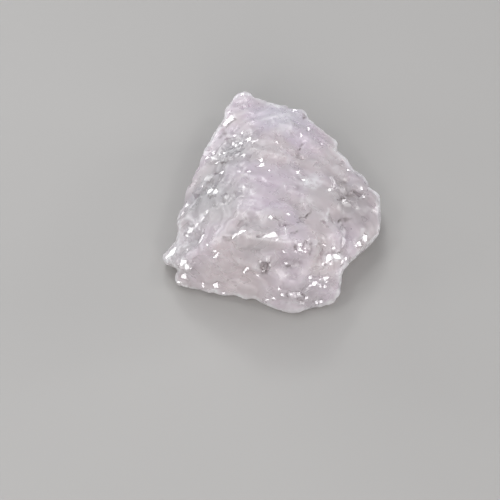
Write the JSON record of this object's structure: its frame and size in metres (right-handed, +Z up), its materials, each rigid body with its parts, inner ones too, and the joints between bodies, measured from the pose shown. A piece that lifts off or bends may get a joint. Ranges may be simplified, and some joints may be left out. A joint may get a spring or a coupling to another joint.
{
  "type": "rough morganite",
  "caption": "Rough broken chunk of pale pink morganite beryl, cloudy and glassy, that lies on one flat cleavage face as a loose display or collector's stone.",
  "frame": {"origin": "on the surface the stone rests on, below the middle of its box", "axes": "+Z up from the cleavage face it rests on, +Y from the steep front face towards the narrow far end, +X to the right as seen from the front"},
  "size_m": [0.0318, 0.0366, 0.0145],
  "materials": {
    "beryl": "cloudy translucent pale pink, glassy on broken faces"
  },
  "bodies": {
    "root": {"morganite": "beryl"}
  },
  "joints": []
}
